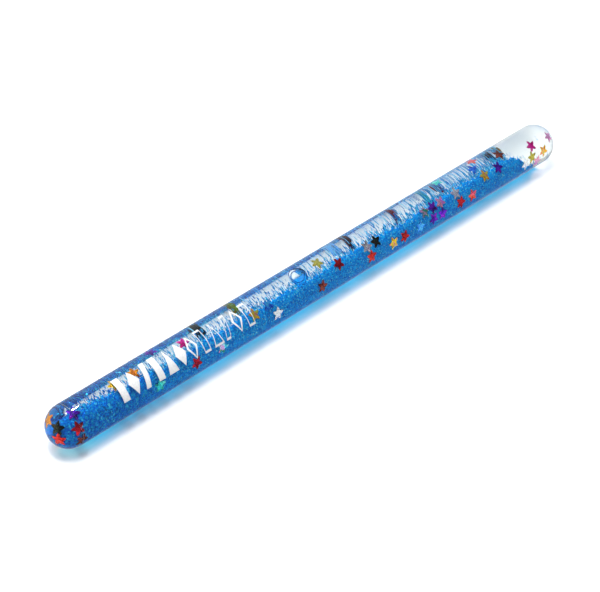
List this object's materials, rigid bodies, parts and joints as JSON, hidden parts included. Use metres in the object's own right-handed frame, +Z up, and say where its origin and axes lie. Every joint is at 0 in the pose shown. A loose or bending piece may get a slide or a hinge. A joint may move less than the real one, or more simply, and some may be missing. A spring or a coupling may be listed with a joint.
{
  "type": "liquid glitter wand",
  "caption": "Sealed clear round-ended tube filled with liquid, blue glitter, loose foil stars and an air bubble; the object wand that a kaleidoscope looks at.",
  "frame": {"origin": "centre of the wand's footprint, on the floor under the middle of the tube", "axes": "+X along the tube from the capped end to the closed end, +Z up, -Y the side that the glitter leans on"},
  "size_m": [0.3, 0.0188, 0.0189],
  "materials": {
    "tube_plastic": "clear gloss plastic",
    "fill_liquid": "clear liquid",
    "blue_glitter": "fine metallic flakes",
    "bubble_air": "clear",
    "foil_amber": "metallised foil, some of it with a rainbow sheen",
    "foil_black": "metallised foil, some of it with a rainbow sheen",
    "foil_blue": "metallised foil, some of it with a rainbow sheen",
    "foil_brown": "metallised foil, some of it with a rainbow sheen",
    "foil_coral": "metallised foil, some of it with a rainbow sheen",
    "foil_crimson": "metallised foil, some of it with a rainbow sheen",
    "foil_cyan": "metallised foil, some of it with a rainbow sheen",
    "foil_gold": "metallised foil, some of it with a rainbow sheen",
    "foil_green": "metallised foil, some of it with a rainbow sheen",
    "foil_magenta": "metallised foil, some of it with a rainbow sheen",
    "foil_olive": "metallised foil, some of it with a rainbow sheen",
    "foil_pink": "metallised foil, some of it with a rainbow sheen",
    "foil_purple": "metallised foil, some of it with a rainbow sheen",
    "foil_red": "metallised foil, some of it with a rainbow sheen",
    "foil_silver": "metallised foil, some of it with a rainbow sheen",
    "foil_teal": "metallised foil, some of it with a rainbow sheen",
    "foil_white": "metallised foil, some of it with a rainbow sheen"
  },
  "bodies": {
    "tube": {"wand_tube": "tube_plastic", "end_cap": "tube_plastic", "clear_liquid": "fill_liquid", "glitter_bed": "blue_glitter"},
    "bubble": {"air_bubble": "bubble_air"},
    "near_end_stars": {"near_end_star_amber_1": "foil_amber", "near_end_star_black_1": "foil_black", "near_end_star_brown_1": "foil_brown", "near_end_star_crimson_1": "foil_crimson", "near_end_star_purple_1": "foil_purple", "near_end_star_red_1": "foil_red"},
    "front_stars": {"front_star_blue_1": "foil_blue", "front_star_brown_1": "foil_brown", "front_star_coral_1": "foil_coral", "front_star_crimson_1": "foil_crimson", "front_star_crimson_2": "foil_crimson", "front_star_cyan_1": "foil_cyan", "front_star_gold_1": "foil_gold", "front_star_purple_1": "foil_purple", "front_star_purple_2": "foil_purple", "front_star_red_1": "foil_red", "front_star_red_2": "foil_red", "front_star_teal_1": "foil_teal", "front_star_white_1": "foil_white"},
    "upper_front_stars": {"upper_front_star_black_1": "foil_black", "upper_front_star_blue_1": "foil_blue", "upper_front_star_crimson_1": "foil_crimson", "upper_front_star_cyan_1": "foil_cyan", "upper_front_star_gold_1": "foil_gold", "upper_front_star_pink_1": "foil_pink", "upper_front_star_purple_1": "foil_purple", "upper_front_star_silver_1": "foil_silver", "upper_front_star_silver_2": "foil_silver"},
    "top_stars": {"top_star_amber_1": "foil_amber", "top_star_blue_1": "foil_blue", "top_star_brown_1": "foil_brown", "top_star_gold_1": "foil_gold", "top_star_magenta_1": "foil_magenta", "top_star_olive_1": "foil_olive"},
    "top_rear_stars": {"top_rear_star_coral_1": "foil_coral", "top_rear_star_purple_1": "foil_purple", "top_rear_star_teal_1": "foil_teal"},
    "rear_stars": {"rear_star_amber_1": "foil_amber", "rear_star_black_1": "foil_black", "rear_star_brown_1": "foil_brown", "rear_star_crimson_1": "foil_crimson", "rear_star_crimson_2": "foil_crimson", "rear_star_green_1": "foil_green", "rear_star_white_1": "foil_white"},
    "far_end_stars": {"far_end_star_amber_1": "foil_amber", "far_end_star_black_1": "foil_black", "far_end_star_gold_1": "foil_gold", "far_end_star_gold_2": "foil_gold", "far_end_star_magenta_1": "foil_magenta", "far_end_star_olive_1": "foil_olive", "far_end_star_pink_1": "foil_pink", "far_end_star_pink_2": "foil_pink", "far_end_star_purple_1": "foil_purple", "far_end_star_white_1": "foil_white"}
  },
  "joints": [
    {"name": "bubble_drift", "type": "slide", "parent": "tube", "child": "bubble", "axis": [1, 0, 0], "range_m": [-0.106, 0.139]},
    {"name": "near_end_star_drift", "type": "slide", "parent": "tube", "child": "near_end_stars", "axis": [1, 0, 0], "range_m": [0, 0.008]},
    {"name": "front_star_drift", "type": "slide", "parent": "tube", "child": "front_stars", "axis": [1, 0, 0], "range_m": [-0.024, 0.022]},
    {"name": "upper_front_star_drift", "type": "slide", "parent": "tube", "child": "upper_front_stars", "axis": [1, 0, 0], "range_m": [-0.07, 0.008]},
    {"name": "top_star_drift", "type": "slide", "parent": "tube", "child": "top_stars", "axis": [1, 0, 0], "range_m": [-0.008, 0.02]},
    {"name": "top_rear_star_drift", "type": "slide", "parent": "tube", "child": "top_rear_stars", "axis": [1, 0, 0], "range_m": [-0.036, 0.034]},
    {"name": "rear_star_drift", "type": "slide", "parent": "tube", "child": "rear_stars", "axis": [1, 0, 0], "range_m": [-0.06, 0.024]},
    {"name": "far_end_star_drift", "type": "slide", "parent": "tube", "child": "far_end_stars", "axis": [1, 0, 0], "range_m": [-0.006, 0]}
  ]
}
